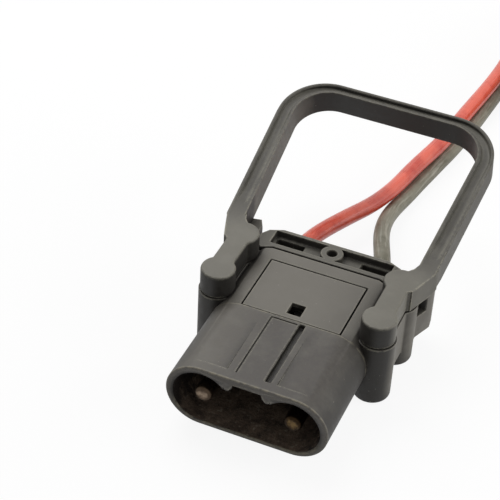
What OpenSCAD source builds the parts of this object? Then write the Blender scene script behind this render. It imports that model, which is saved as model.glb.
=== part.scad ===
// Two-pin battery charging plug with a fixed pull handle and a pair of battery leads.
// The plug stands on the four screw bosses of its housing. Its mouth faces -Y and its
// leads leave at +Y, are wound into two stacked coils and end in ring lugs.
// Modules draw in the mouth frame: y runs back from the mouth plane, z from the middle
// plane of the two contacts. stand() moves them to the frame of the part.

/* [Housing] */
// Width across the housing barrel
body_w = 94; // [92:0.5:96]
// Height of the housing barrel
body_h = 40.2; // [39.6:0.2:41]
// Length of the barrel from its mouth to the cable clamp
body_len = 114; // [113:0.5:115]
// Height above the middle plane of the flat rear deck
deck_z = 17.65; // [17.4:0.05:17.9]
// Where the flat rear deck starts, behind the mouth
deck_y = 58; // [56:0.5:59]
// Rounding of the rim of the mouth
rim_r = 0.8; // [0.6:0.1:1.2]

/* [Mouth] */
// Distance between the two contacts
contact_pitch = 52; // [51:0.5:53]
// Radius of the two round ends of the mouth
mouth_r = 16.8; // [16.4:0.1:17.2]
// Depth of the mouth
mouth_depth = 48; // [46:1:49]
// Height of the key channel above the middle plane
key_z = 16; // [15.5:0.1:16.4]
// Width of the key channel at its top
key_w = 16; // [15:0.5:17]
// Width of the key channel where it opens into the mouth
key_open_w = 19.4; // [19:0.2:20]

/* [Contacts] */
// Diameter of a contact pin
pin_d = 10; // [9:0.5:11]
// How far the tips stand behind the mouth plane
pin_back = 2; // [1:0.5:4]
// Diameter of the contact shoulder and of the lock collar
collar_d = 14; // [13:0.5:14.5]
// Diameter of the bare conductor in its crimp
strand_d = 6.6; // [6:0.2:7]

/* [Handle] */
// Height of the flat top of the handle pads
pad_z = 30.5; // [30:0.5:32]
// Height of the seam between handle and housing
seam_z = 15.7; // [15.4:0.1:16]
// Angle at which the loop rises to the rear
loop_tilt = 14; // [12:1:16]
// Height of the section of the loop
loop_h = 17; // [16:0.5:18]
// Length of the loop in its own plane
loop_len = 117.5; // [115:0.5:120]
// Half width of the loop at its feet
loop_foot = 64; // [63.5:0.5:65]
// Half width of the loop at its widest
loop_wide = 68; // [67:0.5:69]
// Width of the arms of the loop
arm_w = 10; // [9:0.5:11]
// Width of the cross bar of the loop
bar_w = 7.5; // [7:0.5:9]
// Depth of the channel along both faces of the loop
channel_deep = 2.6; // [2:0.1:3]

/* [Leads] */
// Outside diameter of a lead
lead_d = 10.4; // [10.4:0.1:10.4]
// Diameter at the middle of the turns of a coil
coil_d = 104; // [104:1:104]
// Diameter of the bolt hole in a ring lug
lug_hole_d = 8.4; // [8.2:0.1:8.6]

/* [Hidden] */
$fn = 64;
over = 0.01;
plastic = "#4b4945";
red = "#d9584a";
black = "#4a4842";
copper = "#b87d4b";
tin = "#b9b9b4";
steel = "#8f9194";

// Frame: middle of the length of the plug, and the floor under the bosses
floor_z = 25;
body_y = (118 + loop_len * cos(loop_tilt) + loop_h * sin(loop_tilt)) / 2;

// Housing
half_pitch = contact_pitch / 2;
half_h = body_h / 2;
rear_taper_x = 40.8;
rear_taper_y = body_len - 3.6;
rear_flat_x = 33;
chamber_w = 75.6;
chamber_h = 23.6;
chamber_y = 92;
core_wall = 2;
bore_gap = 0.1;

// Saddle and screw bosses on the flanks, and the matching pads of the handle
front_pad = [48, 69.6];
rear_pad = [48.5, 104.2];
front_pad_r = 10;
rear_pad_r = 10.2;
waist_in = 41.7;
waist_out = 54.8;
boss_more = 0.8;
boss_round = 2.5;
web_z = -14;
screw_seat_z = -2;
screw_r = 2;
screw_clear = 2.3;
screw_top_z = 27.7;
head_r = 4;
head_h = 3;
recess_r = 4.6;

// Gap between the edge of the handle and the housing, above the seam
seam_gap = 0.5;
seam_in = 0.8;

// Rear lug on each flank
lug_top_z = 17.4;
lug_low_z = -11;
lug_round = 7;
window_y = [105.5, 115];
window_z = [5, 14.2];

// Lines and steps of the top of the barrel
groove_deep = 0.8;
panel_left = -8.7;
panel_rear = 55.2;
slot_x = [7.2, 10.5];
slot_y = [7, 56.6];
slot_deep = 3.2;
line_w = 0.8;
line_y = 6.5;
// Flats beside the middle strip of the top, deepest at the front
flat_x = [14.5, 40];
flat_y = [7, 50];
flat_deep = 0.8;

// Lock plate over the contact chamber
plate_x = 29;
plate_y = [60.9, 103.6];
plate_t = 2.6;
plate_gap = 0.7;
plate_window_x = 4.1;
plate_window_y = [64.7, 74];
fork_y = [62.1, 66.1];
fork_x = [17, 29];
fork_low = -6;

// Coding pin under the window
code_z = 6;
code_y = [50, 84];
code_r = 5.6;
code_hex_r = 5.4;
collar_len = 2.5;

// Contacts, from the tip to the rear
seat_y = mouth_depth - 0.2;
seat_more = 0.3;
shoulder_y = mouth_depth + core_wall;
neck_y = [61.8, 66.4];
neck_r = 5.2;
collar_end = 70;
barrel_r = 6.4;
barrel_end = 91;
crimp_y = 71;
tip_round = 1.8;

// Cable clamp
clamp_gap = 1;
clamp_y = body_len + clamp_gap;
clamp_end = 132.3;
clamp_plan = [
    [rear_flat_x, clamp_y], [rear_taper_x, rear_taper_y + clamp_gap], [43.4, 114],
    [44.4, 118], [44.4, 123], [41, 128.5], [32.7, clamp_end]
];
tray_y = [118.7, 130];
tray_x = 36.5;
tray_z = 13;
slit_y = [121, 128.4];
slit_x = [17.9, 35];
slit_low = 7;
boss_y = 124.5;
clamp_boss_r = 6.8;
hole_r = 3;
hole_low = 10;
clamp_screw_r = 1.5;
clamp_screw_low = -13;
grip_r = lead_d / 2;
groove_r = grip_r + 0.3;
grip_y = [117, 121, 125, 129];
grip_len = 1.6;
spigot_y = 104;
spigot_gap = 0.2;
snap_y = [107.5, 109.5];
snap_x = 18;
snap_h = 1;

// Leads: centre lines in the mouth frame, from the clamp to the coils
lead_r = lead_d / 2;
root_y = 96;
tube_sides = 10;
coil_r = coil_d / 2;
coil_c = [96, 438.5];
tie_t = 1;
tie_w = 12;
black_base = tie_t - floor_z;
red_base = black_base + 2 * lead_d;
slot_in = coil_r - lead_r;
slot_out = coil_r + lead_r;
inlet_len = 38;
black_in = 165;
red_in = 60;
black_out = -15;
red_out = 0;
outlet_len = 16;
red_fall = 98;
red_run = 26;
black_fall = 62;
black_run = 93;
tail_steps = 9;
spout_r = 4.9;
red_route = [
    [-26, 132.3, 0], [-25.7, 140, -0.3], [-24.5, 149, -0.9], [-22.3, 159, -1.7],
    [-19.2, 169.5, -2.8], [-15.3, 181, -4.2], [-11, 193, -5.8], [-6.6, 205, -7.5],
    [-2.6, 218, -8.9], [0.6, 231, -9.8], [3.1, 244, -10.2], [5.4, 257, -9.9],
    [7.9, 269.5, -9.7], [10.6, 282, -9.6], [13.2, 295, -9.6], [15.3, 313, -9.9],
    [17, 332, -10.1], [19, 349, -9.9], [21.2, 366, -9.6], [23.1, 384, -9.4],
    [24.3, 402, -9.3], [24.6, 420, -9], [24.4, 438, -8.4], [24.2, 454, -7.4],
    [24.2, 469, -6], [26.9, 483.5, -4.4], [34.7, 497, -2.8], [46.7, 507.1, -1.1],
    [61.4, 512.4, 0.3], [77, 512.4, 1.4]
];
black_route = [
    [26, 132.3, 0], [25.5, 140, -0.5], [23.9, 148, -1.4], [21.5, 156, -2.6],
    [18.5, 164.5, -4.2], [15.2, 173.5, -6.2], [12, 183, -8.5], [9.3, 193, -11],
    [7.3, 204, -13.5], [6.4, 215, -15.8], [6.7, 226, -17.6], [7.9, 237, -18.9],
    [9.4, 248, -19.6], [11.1, 260, -19.8], [13.3, 273, -19.8], [15.8, 288, -19.8],
    [18.4, 303, -19.8], [20.7, 320, -19.8], [22.8, 338, -19.8], [24.4, 357, -19.8],
    [25.8, 376, -19.8], [27.3, 395, -19.7]
];

// Ring lugs and their heat-shrink sleeves
lug_barrel = 16;
lug_barrel_r = 4.6;
palm_len = 20;
palm_w = 16;
palm_t = 2.6;
sleeve_len = 30;
sleeve_t = 0.8;
sleeve_on_lug = 13;
lay_z = lead_r + sleeve_t - floor_z;

function unit(v) = v / norm(v);
function on_circle(c, r, a, z) = [c[0] + r * cos(a), c[1] + r * sin(a), z];
// Clockwise heading on a circle at angle a
function heading(a, slope = 0) = unit([sin(a), -cos(a), slope]);

module stand() {
    translate([0, -body_y, floor_z]) children();
}

module both_sides() {
    for (side = [0, 1]) mirror([side, 0, 0]) children();
}

// Extrudes a shape drawn in x and z from y0 to y1
module along_y(y0, y1) {
    translate([0, y1, 0]) rotate([90, 0, 0]) linear_extrude(y1 - y0) children();
}

// Turns a profile drawn as radius and y about a line along y
module turn_y(x = 0, z = 0) {
    translate([x, 0, z]) rotate([-90, 0, 0]) rotate_extrude() children();
}

module box(x0, x1, y0, y1, z0, z1) {
    translate([x0, y0, z0]) cube([x1 - x0, y1 - y0, z1 - z0]);
}

// Oval with flat top and bottom and round ends
module oval(w, h) {
    square([w - h, h], center = true);
    for (side = [-1, 1]) translate([side * (w - h) / 2, 0]) circle(d = h);
}

// Half section of the barrel, as radius and y, with its front edge rounded
module rim_profile(r, len) {
    difference() {
        square([r, len]);
        translate([r - rim_r, 0]) difference() {
            translate([0, -over]) square([rim_r + over, rim_r + over]);
            translate([0, rim_r]) circle(rim_r);
        }
    }
}

module barrel() {
    centre = body_w / 2 - half_h;
    for (side = [-1, 1]) turn_y(x = side * centre) rim_profile(half_h, body_len);
    translate([-centre, 0, 0]) rotate([90, 0, 90]) linear_extrude(2 * centre)
        for (flip = [0, 1]) mirror([0, flip]) rotate(90) mirror([0, 1])
            rim_profile(half_h, body_len);
}

// Plan of the barrel, with the two rear corners cut back
module barrel_plan() {
    w = body_w / 2 + 1;
    polygon([
        [-w, -1], [w, -1], [w, rear_taper_y - 6], [rear_taper_x, rear_taper_y],
        [rear_flat_x, body_len], [-rear_flat_x, body_len],
        [-rear_taper_x, rear_taper_y], [-w, rear_taper_y - 6]
    ]);
}

// Two round wells, a flat floor between them and the key channel above
module mouth_shape() {
    rib_r = 1.75;
    rib_x = (key_open_w / 2 + half_pitch - sqrt(mouth_r * mouth_r - 121)) / 2;
    rib_z = 11 + rib_r;
    difference() {
        union() {
            for (side = [-1, 1]) translate([side * half_pitch, 0]) circle(mouth_r);
            translate([-half_pitch, -mouth_r]) square([contact_pitch, mouth_r]);
            translate([-rib_x - rib_r, -1]) square([2 * (rib_x + rib_r), rib_z + 1]);
            polygon([
                [-key_w / 2, key_z], [key_w / 2, key_z],
                [key_open_w / 2, 10], [-key_open_w / 2, 10]
            ]);
        }
        for (side = [-1, 1]) translate([side * rib_x, rib_z]) circle(rib_r);
    }
}

// Plan of a handle pad, drawn smaller by i
module pad_plan(i = 0) {
    translate(front_pad) circle(front_pad_r - i);
    translate(rear_pad) circle(rear_pad_r - i);
    translate([waist_in + i, front_pad[1]])
        square([waist_out - waist_in - 2 * i, rear_pad[1] - front_pad[1]]);
}

// Screw boss with a rounded foot
module screw_boss(place, r) {
    translate([place[0], place[1], -floor_z]) rotate_extrude() difference() {
        square([r, floor_z + seam_z]);
        translate([r - boss_round, 0]) difference() {
            translate([0, -over]) square([boss_round + over, boss_round + over]);
            translate([0, boss_round]) circle(boss_round);
        }
    }
}

module screw_ways(place) {
    translate([place[0], place[1], -floor_z - 1])
        cylinder(r = recess_r, h = floor_z + screw_seat_z + 1);
    translate([place[0], place[1], screw_seat_z - 1])
        cylinder(r = screw_clear, h = seam_z - screw_seat_z + 2);
}

// Plan of the rear lug, splayed outwards to follow the arm of the handle
lug_plan = [
    [46, 103], [57, 101.6], [60.5, 110.8], [64, 120], [63.2, 126], [60, 131],
    [55, 134.6], [49, 136], [46, 130]
];

module rear_lug() {
    difference() {
        translate([0, 0, lug_low_z]) linear_extrude(lug_top_z - lug_low_z) polygon(lug_plan);
        // Lower rear edge swept up in a quarter round
        translate([40, 136 - lug_round, lug_low_z]) rotate([90, 0, 90]) linear_extrude(30)
            difference() {
                translate([0, -over]) square([lug_round + over, lug_round + over]);
                translate([0, lug_round]) circle(lug_round);
            }
        box(44, 70, window_y[0], window_y[1], window_z[0], window_z[1]);
        handle_blank();
    }
}

module core_ways() {
    along_y(shoulder_y, chamber_y + over)
        for (side = [-1, 1]) translate([side * half_pitch, 0]) circle(d = collar_d + 2 * bore_gap);
    along_y(mouth_depth - over, shoulder_y + over)
        for (side = [-1, 1])
            translate([side * half_pitch, 0]) circle(r = pin_d / 2 + seat_more + bore_gap);
    along_y(code_y[0], chamber_y + over) translate([0, code_z]) circle(code_r);
    box(-plate_window_x - 1, plate_window_x + 1, plate_window_y[0] - 1, plate_window_y[1] + 1,
        code_z, deck_z);
    both_sides()
        box(fork_x[0] - bore_gap, fork_x[1] + bore_gap, fork_y[0] - bore_gap, fork_y[1] + bore_gap,
            fork_low - bore_gap, deck_z);
}

module housing() {
    color(plastic) stand() difference() {
        union() {
            intersection() {
                barrel();
                translate([0, 0, -50]) linear_extrude(100) barrel_plan();
            }
            both_sides() {
                box(waist_in - boss_more, waist_out + boss_more, front_pad[1], rear_pad[1],
                    web_z, seam_z);
                screw_boss(front_pad, front_pad_r + boss_more);
                screw_boss(rear_pad, rear_pad_r + boss_more);
                rear_lug();
            }
        }
        box(-39.4, 39.4, deck_y, body_len + 1, deck_z, 30);
        along_y(-1, mouth_depth) mouth_shape();
        core_ways();
        along_y(chamber_y, body_len + 1) oval(chamber_w, chamber_h);
        for (side = [0, 1]) mirror([0, 0, side])
            box(-snap_x - 0.2, snap_x + 0.2, snap_y[0] - 0.2, snap_y[1] + 0.2, 0,
                chamber_h / 2 - spigot_gap + snap_h + 0.2);
        box(-plate_x - plate_gap, plate_x + plate_gap, plate_y[0], plate_y[1] + plate_gap,
            deck_z - plate_t, 30);
        box(slot_x[0], slot_x[1], slot_y[0], slot_y[1], half_h - slot_deep, 30);
        box(panel_left - line_w, panel_left, line_y, panel_rear, half_h - groove_deep, 30);
        box(panel_left - line_w, slot_x[0] - 1.2, panel_rear, panel_rear + line_w,
            half_h - groove_deep, 30);
        both_sides() {
            screw_ways(front_pad);
            screw_ways(rear_pad);
            translate([flat_x[0], 0, half_h]) rotate([90, 0, 90])
                linear_extrude(flat_x[1] - flat_x[0]) polygon([
                    [flat_y[0], -flat_deep], [flat_y[1], over], [flat_y[1], 5], [flat_y[0], 5]
                ]);
        }
    }
}

module lock_plate() {
    color(plastic) stand() difference() {
        union() {
            box(-plate_x, plate_x, plate_y[0], plate_y[1], deck_z - plate_t, deck_z);
            both_sides()
                box(fork_x[0], fork_x[1], fork_y[0], fork_y[1], fork_low, deck_z - plate_t + over);
        }
        box(-plate_window_x, plate_window_x, plate_window_y[0], plate_window_y[1], 0, 30);
        for (side = [-1, 1]) {
            along_y(fork_y[0] - 1, fork_y[1] + 1)
                translate([side * half_pitch, 0]) circle(neck_r + bore_gap);
            box(side * half_pitch - neck_r - bore_gap, side * half_pitch + neck_r + bore_gap,
                fork_y[0] - 1, fork_y[1] + 1, fork_low - 1, 0);
        }
    }
}

module coding_pin() {
    color("#2b2a28") stand() translate([0, 0, code_z]) {
        along_y(code_y[0] + collar_len, code_y[1] - collar_len) circle(code_hex_r, $fn = 6);
        along_y(code_y[0], code_y[0] + collar_len) circle(code_r);
        along_y(code_y[1] - collar_len, code_y[1]) circle(code_r);
    }
}

// Turned contact: pin, shoulder, neck for the lock fork, collar and crimp barrel
module contact(side) {
    r = pin_d / 2;
    color(copper) stand() difference() {
        turn_y(x = side * half_pitch) union() {
            translate([0, pin_back + tip_round]) square([r, shoulder_y - pin_back - tip_round + over]);
            translate([0, pin_back]) square([r - tip_round, tip_round + over]);
            intersection() {
                translate([r - tip_round, pin_back + tip_round]) circle(tip_round);
                translate([0, pin_back]) square([r, tip_round + over]);
            }
            translate([0, seat_y]) square([r + seat_more, shoulder_y - seat_y + over]);
            translate([0, shoulder_y]) square([collar_d / 2, neck_y[0] - shoulder_y]);
            translate([0, neck_y[0] - over]) square([neck_r, neck_y[1] - neck_y[0] + 2 * over]);
            translate([0, neck_y[1]]) square([collar_d / 2, collar_end - neck_y[1]]);
            translate([0, collar_end - over]) square([barrel_r, barrel_end - collar_end + over]);
        }
        along_y(crimp_y, barrel_end + 1) translate([side * half_pitch, 0]) circle(d = strand_d);
    }
}

module positive_contact() contact(-1);

module negative_contact() contact(1);

module conductor(side) {
    color(copper) stand() along_y(crimp_y, root_y)
        translate([side * half_pitch, 0]) circle(d = strand_d);
}

module positive_conductor() conductor(-1);

module negative_conductor() conductor(1);

module clamp_outline() {
    polygon(concat(clamp_plan, [for (i = [len(clamp_plan) - 1:-1:0]) [-clamp_plan[i][0], clamp_plan[i][1]]]));
}

// Upper half of the clamp; the lower half is its mirror image with a thread
module clamp_half(bore_r) {
    difference() {
        union() {
            linear_extrude(deck_z) clamp_outline();
            intersection() {
                along_y(spigot_y, clamp_y + over) oval(chamber_w - 2 * spigot_gap, chamber_h - 2 * spigot_gap);
                box(-50, 50, spigot_y - 1, clamp_y + 1, 0, 30);
            }
            box(-snap_x, snap_x, snap_y[0], snap_y[1], 5, chamber_h / 2 - spigot_gap + snap_h);
        }
        difference() {
            box(-tray_x, tray_x, tray_y[0], tray_y[1], tray_z, 30);
            translate([0, boss_y, 0]) cylinder(r = clamp_boss_r, h = 30);
        }
        for (side = [-1, 1]) {
            along_y(spigot_y - 1, clamp_end + 1) translate([side * half_pitch, 0]) circle(groove_r);
            box(min(side * slit_x[0], side * slit_x[1]), max(side * slit_x[0], side * slit_x[1]),
                slit_y[0], slit_y[1], slit_low, tray_z + over);
        }
        translate([0, boss_y, -1]) cylinder(r = bore_r, h = 14);
        both_sides() translate([rear_pad[0], rear_pad[1], -1])
            cylinder(r = rear_pad_r + boss_more + 0.3, h = 30);
    }
    // Ribs that bite on the leads
    for (side = [-1, 1], y = grip_y)
        intersection() {
            along_y(y, y + grip_len) translate([side * half_pitch, 0]) difference() {
                circle(groove_r + 0.5);
                circle(grip_r);
            }
            box(-50, 50, y - 1, y + grip_len + 1, 0, 2.6);
        }
}

module clamp_upper() {
    color(plastic) stand() difference() {
        clamp_half(clamp_screw_r + 0.2);
        translate([0, boss_y, hole_low]) cylinder(r = hole_r, h = 20);
    }
}

module clamp_lower() {
    color(plastic) stand() mirror([0, 0, 1]) clamp_half(clamp_screw_r);
}

module clamp_screw() {
    color(steel) stand() translate([0, boss_y, 0]) difference() {
        union() {
            translate([0, 0, clamp_screw_low]) cylinder(r = clamp_screw_r, h = hole_low - clamp_screw_low + over);
            translate([0, 0, hole_low]) cylinder(r = 2.75, h = 2);
        }
        translate([-3, -0.4, hole_low + 1.1]) cube([6, 0.8, 2]);
    }
}

// Where the ramp of the channel starts and ends, along the loop
channel_y = [8, 24];

// Plan of the arm between the rear pad and the foot of the loop
arm_plan = [
    [46, 104.2], [57, 97.4], [59, 103], [64, 118], [64.6, 122.2], [53.2, 122.2], [51.6, 117], [47.6, 112]
];

// Outline of the loop in its own plane, drawn inset by i
module loop_outer(i = 0) {
    corner_r = 30;
    s = loop_len - corner_r;
    polygon([
        [-loop_foot + i, -1], [loop_foot - i, -1], [loop_wide - i, s], [loop_wide - corner_r, s],
        [loop_wide - corner_r, loop_len - i], [-loop_wide + corner_r, loop_len - i],
        [-loop_wide + corner_r, s], [-loop_wide + i, s]
    ]);
    for (side = [-1, 1]) translate([side * (loop_wide - corner_r), s]) circle(corner_r - i);
}

// Inner outline of the loop, drawn larger by i
module loop_inner(i = 0) {
    corner_r = 22;
    foot = loop_foot - arm_w - 1.3 + i;
    wide = loop_wide - arm_w + i;
    s = loop_len - bar_w - corner_r;
    polygon([
        [-foot, -8], [foot, -8], [wide, s], [wide - corner_r - i, s],
        [wide - corner_r - i, s + corner_r + i], [-wide + corner_r + i, s + corner_r + i],
        [-wide + corner_r + i, s], [-wide, s]
    ]);
    for (side = [-1, 1]) translate([side * (wide - corner_r - i), s]) circle(corner_r + i);
}

// Places children drawn in the plane of the loop, z along its normal
module on_loop() {
    translate([0, 118, pad_z]) rotate([loop_tilt, 0, 0]) children();
}

// The handle without its channels and screw holes
module handle_blank() {
    both_sides() {
        translate([0, 0, seam_z]) linear_extrude(seam_gap + over) pad_plan(seam_in);
        translate([0, 0, seam_z + seam_gap]) linear_extrude(pad_z - seam_z - seam_gap) {
            pad_plan();
            polygon(arm_plan);
        }
    }
    difference() {
        on_loop() translate([0, 0, -loop_h]) linear_extrude(loop_h) difference() {
            loop_outer();
            translate([0, -over]) loop_inner();
        }
        box(-80, 80, 100, 150, -10, seam_z + seam_gap);
    }
}

// Channel between two rims, cut down from z = 0; near the feet its floor comes up in a ramp
module loop_channel() {
    rim = 2.3;
    difference() {
        translate([0, 0, -channel_deep]) linear_extrude(channel_deep + 1) difference() {
            loop_outer(rim);
            loop_inner(rim);
            translate([-80, -10]) square([160, 10 + channel_y[0]]);
        }
        translate([-80, 0, 0]) rotate([90, 0, 90]) linear_extrude(160) polygon([
            [0, 0], [channel_y[0], 0], [channel_y[1], -channel_deep - over],
            [channel_y[1], -channel_deep - 1], [0, -channel_deep - 1]
        ]);
    }
}

module handle() {
    color(plastic) stand() difference() {
        handle_blank();
        on_loop() loop_channel();
        on_loop() translate([0, 0, -loop_h]) mirror([0, 0, 1]) loop_channel();
        for (side = [-1, 1], p = [front_pad, rear_pad])
            translate([side * p[0], p[1], seam_z - 1]) cylinder(r = screw_r, h = screw_top_z - seam_z + 1);
    }
}

module handle_screws() {
    color(steel) stand() for (side = [-1, 1], p = [front_pad, rear_pad])
        translate([side * p[0], p[1], 0]) difference() {
            union() {
                translate([0, 0, screw_seat_z - over]) cylinder(r = screw_r, h = screw_top_z - screw_seat_z + over);
                translate([0, 0, screw_seat_z - head_h]) cylinder(r = head_r, h = head_h);
            }
            translate([0, 0, screw_seat_z - head_h - 1]) {
                translate([-2.6, -0.5, 0]) cube([5.2, 1, 2.6]);
                translate([-0.5, -2.6, 0]) cube([1, 5.2, 2.6]);
            }
        }
}

// Stretch of a lead inside the clamp
module root(side) {
    stand() along_y(root_y, clamp_end) translate([side * half_pitch, 0]) circle(lead_r);
}

module positive_root() color(red) root(-1);

module negative_root() color(black) root(1);

// Round tube along a list of points, one ring of corners at each point
module tube(points, r) {
    n = tube_sides;
    m = len(points);
    corners = [
        for (i = [0:m - 1])
            let (
                t = unit(points[min(i + 1, m - 1)] - points[max(i - 1, 0)]),
                across = unit(cross(t, [0, 0, 1])),
                up = cross(across, t)
            )
            for (k = [0:n - 1])
                points[i] + r * (cos(360 * k / n) * across + sin(360 * k / n) * up)
    ];
    sides = [
        for (i = [0:m - 2], k = [0:n - 1])
            let (a = i * n + k, b = i * n + (k + 1) % n)
            [a, b, b + n, a + n]
    ];
    ends = [[for (k = [n - 1:-1:0]) k], [for (k = [0:n - 1]) (m - 1) * n + k]];
    polyhedron(corners, concat(sides, ends), convexity = 6);
}

// Point where a lead leaves its route to run straight into the outer turn at angle a
function inlet(a, base) = on_circle(coil_c, slot_out, a, base + lead_r) - inlet_len * heading(a);
// Point where it leaves the upper outer turn
function outlet(a, base) = on_circle(coil_c, slot_out - 0.15, a, base + lead_d + lead_r);
// Its last stretch: down to the floor in an S of length fall, then straight on for run
function tail(a, base, fall, run) =
    let (top = outlet(a, base) + outlet_len * heading(a))
    [
        for (s = concat([for (i = [0:tail_steps]) fall * i / tail_steps], [fall + run]))
            [top[0], top[1], lay_z + (top[2] - lay_z) * (1 + cos(180 * min(1, s / fall))) / 2]
                + s * heading(a)
    ];
red_tail = tail(red_out, red_base, red_fall, red_run);
black_tail = tail(black_out, black_base, black_fall, black_run);
red_lug_at = red_tail[tail_steps + 1];
black_lug_at = black_tail[tail_steps + 1];

module positive_lead() {
    color(red) stand() tube(concat(red_route, [inlet(red_in, red_base)]), lead_r);
}

module negative_lead() {
    color(black) stand() tube(concat(black_route, [inlet(black_in, black_base)]), lead_r);
}

// Heading of the straight piece that runs into a coil at angle a, a little inwards
function spout_dir(a) = unit(heading(a) - 0.005 * [cos(a), sin(a), 0]);

// Rod of the lead from point p along direction d
module rod(p, d, len, r = lead_r) {
    flat = norm([d[0], d[1]]);
    translate(p) rotate([0, 90 - atan2(d[2], flat), atan2(d[1], d[0])]) cylinder(r = r, h = len);
}

// Two turns side by side on two more, with a straight piece of lead at each end
module coil(base, a_in, a_out) {
    stand() {
        translate([coil_c[0], coil_c[1], base]) rotate_extrude() {
            translate([0, lead_r]) for (r = [slot_in, slot_out], k = [0, 1])
                translate([r, k * lead_d]) circle(lead_r);
            translate([slot_in, 0]) square([lead_d, 2 * lead_d]);
            translate([slot_in - lead_r, lead_r]) square([2 * lead_d, lead_d]);
        }
        rod(inlet(a_in, base), spout_dir(a_in), inlet_len, spout_r);
        rod(outlet(a_out, base), heading(a_out), outlet_len, spout_r);
    }
}

module positive_coil() color(red) coil(red_base, red_in, red_out);

module negative_coil() color(black) coil(black_base, black_in, black_out);

module positive_end() {
    color(red) stand() {
        tube(red_tail, lead_r);
        rod(red_lug_at - 2 * heading(red_out), heading(red_out), lug_barrel, strand_d / 2);
    }
}

module negative_end() {
    color(black) stand() {
        tube(black_tail, lead_r);
        rod(black_lug_at - 2 * heading(black_out), heading(black_out), lug_barrel, strand_d / 2);
    }
}

// Puts children drawn along +X, from the end of the lead, in place
module at_end(p, a) {
    translate(p) rotate([0, 0, a - 90]) children();
}

module sleeve() {
    rotate([0, 90, 0]) rotate_extrude() {
        translate([lead_r, sleeve_on_lug - sleeve_len]) square([sleeve_t, sleeve_len - sleeve_on_lug]);
        translate([lug_barrel_r, 0]) square([lead_r + sleeve_t - lug_barrel_r, sleeve_on_lug]);
    }
}

module positive_sleeve() color("#2a2a2a") stand() at_end(red_lug_at, red_out) sleeve();

module negative_sleeve() color("#2a2a2a") stand() at_end(black_lug_at, black_out) sleeve();

// Crimped ring lug: barrel over the strands, then a flat palm with its bolt hole
module lug() {
    difference() {
        union() {
            rotate([0, 90, 0]) cylinder(r = lug_barrel_r, h = lug_barrel);
            translate([lug_barrel - 1, -palm_w / 2 + 2, -lug_barrel_r]) cube([6, palm_w - 4, palm_t]);
            translate([lug_barrel + 3, -palm_w / 2, -lug_barrel_r]) cube([palm_len - palm_w / 2 - 3, palm_w, palm_t]);
            translate([lug_barrel + palm_len - palm_w / 2, 0, -lug_barrel_r]) cylinder(d = palm_w, h = palm_t);
        }
        translate([-1, 0, 0]) rotate([0, 90, 0]) cylinder(d = strand_d, h = lug_barrel - 1);
        translate([lug_barrel + palm_len - palm_w / 2, 0, -lug_barrel_r - 1]) cylinder(d = lug_hole_d, h = palm_t + 2);
    }
}

module positive_lug() color(tin) stand() at_end(red_lug_at, red_out) lug();

module negative_lug() color(tin) stand() at_end(black_lug_at, black_out) lug();

// Two straps round the stacked coils
module coil_ties() {
    tall = 4 * lead_d;
    color("#1f1f1f") stand() for (a = [30, -110])
        translate([coil_c[0], coil_c[1], black_base + tall / 2]) rotate([0, 0, a])
            translate([coil_r, tie_w / 2, 0]) rotate([90, 0, 0]) linear_extrude(tie_w) difference() {
                square([2 * lead_d + 2 * tie_t, tall + 2 * tie_t], center = true);
                square([2 * lead_d, tall], center = true);
            }
}

housing();
lock_plate();
coding_pin();
positive_contact();
negative_contact();
positive_conductor();
negative_conductor();
clamp_upper();
clamp_lower();
clamp_screw();
handle();
handle_screws();
positive_root();
negative_root();
positive_lead();
negative_lead();
positive_coil();
negative_coil();
positive_end();
negative_end();
positive_sleeve();
negative_sleeve();
positive_lug();
negative_lug();
coil_ties();
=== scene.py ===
# %% [markdown]
# A battery charging plug, dressed from its CAD model
# A battery charging plug is the hand-sized end of a pair of thick direct current leads.
# It has an oval mouth with two copper pins, a pull handle screwed to its flanks, and a
# clamp that holds the leads. The CAD model is loaded first and stays where it is. This
# lesson adds rounded edges, wound leads and the finish of each material.

# %% Load the fixed frame
import math
import bmesh
import bpy
import numpy as np
from mathutils import Matrix, Vector
from mathutils.bvhtree import BVHTree
from mathutils.kdtree import KDTree


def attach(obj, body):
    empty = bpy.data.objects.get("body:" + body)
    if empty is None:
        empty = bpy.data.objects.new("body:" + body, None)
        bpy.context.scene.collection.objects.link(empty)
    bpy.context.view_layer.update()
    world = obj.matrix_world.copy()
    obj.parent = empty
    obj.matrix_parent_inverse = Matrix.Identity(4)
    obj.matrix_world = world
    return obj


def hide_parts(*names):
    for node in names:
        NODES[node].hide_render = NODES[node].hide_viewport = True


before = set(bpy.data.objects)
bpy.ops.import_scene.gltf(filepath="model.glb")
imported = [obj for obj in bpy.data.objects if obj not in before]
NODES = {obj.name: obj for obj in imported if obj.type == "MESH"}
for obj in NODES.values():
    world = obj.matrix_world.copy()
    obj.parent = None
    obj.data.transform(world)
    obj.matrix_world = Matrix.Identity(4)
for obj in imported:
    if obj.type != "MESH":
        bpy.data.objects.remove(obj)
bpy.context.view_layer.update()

MM = 0.001

# Sizes from the CAD source, in millimetres: where the loop starts behind the rim of the
# mouth, its length, height and tilt, and with them half the length of the plug. Then the
# height of the pins over the floor, and how far each stands from the middle.
LOOP_Y, LOOP_LENGTH, LOOP_HEIGHT, LOOP_TILT = 118, 117.5, 17, math.radians(14)
BODY_Y = (LOOP_Y + LOOP_LENGTH * math.cos(LOOP_TILT) + LOOP_HEIGHT * math.sin(LOOP_TILT)) / 2
FLOOR_Z = 25.0
PIN_X = 26.0
print("CAD nodes:", len(NODES))


def row(points):
    """Turns millimetres from the centre of the mouth into metres in the frame."""
    return (np.array(points, float) + [0.0, -BODY_Y, FLOOR_Z]) * MM


# %% [markdown]
# The camera
# The camera was found by fitting the plug's known lines to its outline in the picture:
# the rim of the mouth, the screw bosses and the loop. It looks down at 39 degrees from
# the front right. A long lens keeps the plug nearly free of perspective, as a product
# picture does. The camera is made first, because the leads are laid out of its view.

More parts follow.
